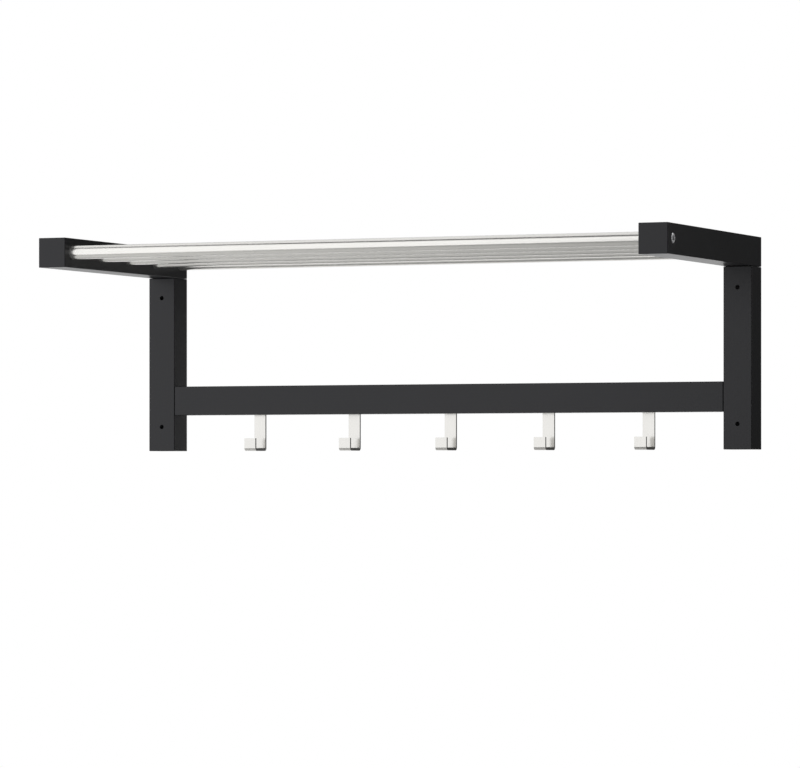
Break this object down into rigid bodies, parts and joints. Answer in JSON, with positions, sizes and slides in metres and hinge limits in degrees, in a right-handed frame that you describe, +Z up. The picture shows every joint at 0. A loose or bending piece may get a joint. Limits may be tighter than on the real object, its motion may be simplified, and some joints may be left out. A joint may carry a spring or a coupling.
{
  "type": "wall hat rack",
  "caption": "Wall-mounted hat and coat rack: black wooden side brackets joined by an aluminium tube shelf and by a rail with bent flat coat hooks.",
  "frame": {"origin": "on the wall plane, midway between the two brackets, level with the underside of the legs", "axes": "+X along the rack to the viewer's right, +Y into the wall, +Z up; the shelf stands out towards -Y"},
  "size_m": [0.79, 0.32, 0.25],
  "materials": {
    "black_wood": "satin black lacquer on solid wood, edges slightly rounded, grain barely showing",
    "tube_aluminium": "satin drawn tube with fine lines along its length, natural anodised",
    "hook_aluminium": "satin bent flat bar, fine lines along the strap",
    "plated_steel": "zinc-plated bolts, inserts and screws",
    "beech": "bare fluted beech dowels, hidden in the joints"
  },
  "bodies": {
    "root": {"left_arm": "black_wood", "left_leg": "black_wood", "right_arm": "black_wood", "right_leg": "black_wood", "hook_rail": "black_wood", "shelf_tube_1": "tube_aluminium", "shelf_tube_2": "tube_aluminium", "shelf_tube_3": "tube_aluminium", "shelf_tube_4": "tube_aluminium", "shelf_tube_5": "tube_aluminium", "coat_hook_1": "hook_aluminium", "coat_hook_2": "hook_aluminium", "coat_hook_3": "hook_aluminium", "coat_hook_4": "hook_aluminium", "coat_hook_5": "hook_aluminium", "left_tube_insert": "plated_steel", "left_tie_bolt": "plated_steel", "right_tube_insert": "plated_steel", "right_tie_bolt": "plated_steel", "hook_screw_1_lower": "plated_steel", "hook_screw_1_upper": "plated_steel", "hook_screw_2_lower": "plated_steel", "hook_screw_2_upper": "plated_steel", "hook_screw_3_lower": "plated_steel", "hook_screw_3_upper": "plated_steel", "hook_screw_4_lower": "plated_steel", "hook_screw_4_upper": "plated_steel", "hook_screw_5_lower": "plated_steel", "hook_screw_5_upper": "plated_steel", "left_arm_dowel_1": "beech", "left_arm_dowel_2": "beech", "left_rail_dowel_1": "beech", "left_rail_dowel_2": "beech", "right_arm_dowel_1": "beech", "right_arm_dowel_2": "beech", "right_rail_dowel_1": "beech", "right_rail_dowel_2": "beech"}
  },
  "joints": []
}
